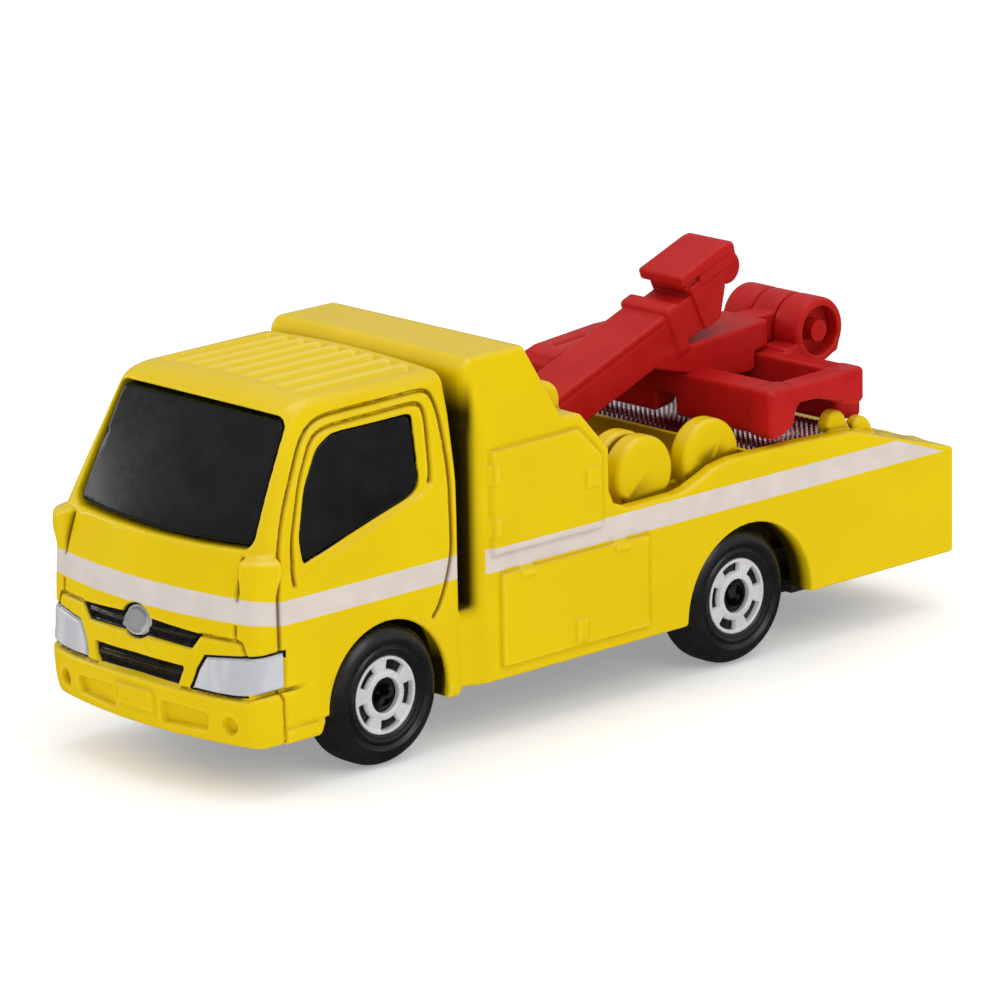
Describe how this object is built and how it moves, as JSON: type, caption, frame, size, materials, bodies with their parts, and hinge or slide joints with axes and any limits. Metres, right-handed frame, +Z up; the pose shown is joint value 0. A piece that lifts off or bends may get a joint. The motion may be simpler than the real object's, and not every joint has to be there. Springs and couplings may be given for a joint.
{
  "type": "toy tow truck",
  "caption": "Pocket-size die-cast toy tow truck with a cab-over nose, folded lifting boom and wheel-lift cradle, and free-rolling sprung wheels.",
  "frame": {"origin": "on the ground, in the middle of the outline", "axes": "+Z up, nose towards -Y, +X to the vehicle's left side"},
  "size_m": [0.0236, 0.0738, 0.0302],
  "materials": {
    "yellow_paint": "gloss yellow enamel over a zinc casting, with a pale stripe, silver lamps and black grille printed on",
    "black_window": "opaque black moulding, satin gloss",
    "base_black": "matt black moulding",
    "steel": "plain steel wire and strip",
    "red_plastic": "satin red moulding",
    "bright_plate": "bright metallised knurled plate",
    "black_wheel": "hard black moulded wheel, semi-gloss",
    "bright_hub": "bright metallised wheel face"
  },
  "bodies": {
    "truck": {"body_casting": "yellow_paint", "window_insert": "black_window", "base_plate": "base_black", "rivets": "steel", "front_spring": "steel", "rear_spring": "steel", "boom_pin": "steel", "winch_housing": "red_plastic", "deck_plate": "bright_plate"},
    "front_axle_body": {"front_axle": "steel"},
    "rear_axle_body": {"rear_axle": "steel"},
    "boom": {"boom_arm": "red_plastic"},
    "cradle_body": {"cradle": "red_plastic", "cradle_pin": "red_plastic"},
    "wheel_front_left": {"tyre_front_left": "black_wheel", "hub_front_left": "bright_hub"},
    "wheel_front_right": {"tyre_front_right": "black_wheel", "hub_front_right": "bright_hub"},
    "wheel_rear_left": {"tyre_rear_left": "black_wheel", "hub_rear_left": "bright_hub"},
    "wheel_rear_right": {"tyre_rear_right": "black_wheel", "hub_rear_right": "bright_hub"}
  },
  "joints": [
    {"name": "front_suspension", "type": "slide", "parent": "truck", "child": "front_axle_body", "axis": [0, 0, 1], "range_m": [0, 0.00025], "deforming": ["front_spring"]},
    {"name": "rear_suspension", "type": "slide", "parent": "truck", "child": "rear_axle_body", "axis": [0, 0, 1], "range_m": [0, 0.00025], "deforming": ["rear_spring"]},
    {"name": "spin_front_left", "type": "hinge", "parent": "front_axle_body", "child": "wheel_front_left", "pos_m": [0.00939, -0.02226, 0.00537], "axis": [1, 0, 0], "continuous": true},
    {"name": "spin_front_right", "type": "hinge", "parent": "front_axle_body", "child": "wheel_front_right", "pos_m": [-0.00939, -0.02226, 0.00537], "axis": [1, 0, 0], "continuous": true},
    {"name": "spin_rear_left", "type": "hinge", "parent": "rear_axle_body", "child": "wheel_rear_left", "pos_m": [0.00939, 0.01394, 0.00537], "axis": [1, 0, 0], "continuous": true},
    {"name": "spin_rear_right", "type": "hinge", "parent": "rear_axle_body", "child": "wheel_rear_right", "pos_m": [-0.00939, 0.01394, 0.00537], "axis": [1, 0, 0], "continuous": true},
    {"name": "boom_lift", "type": "hinge", "parent": "truck", "child": "boom", "pos_m": [0, 0.0042, 0.0162], "axis": [1, 0, 0], "range_deg": [0, 45]},
    {"name": "cradle_fold", "type": "hinge", "parent": "boom", "child": "cradle_body", "pos_m": [0, 0.0302, 0.02215], "axis": [1, 0, 0], "range_deg": [0, 45]}
  ],
  "couplings": [
    {"joint": "cradle_fold", "follows": "boom_lift", "ratio": 1}
  ]
}
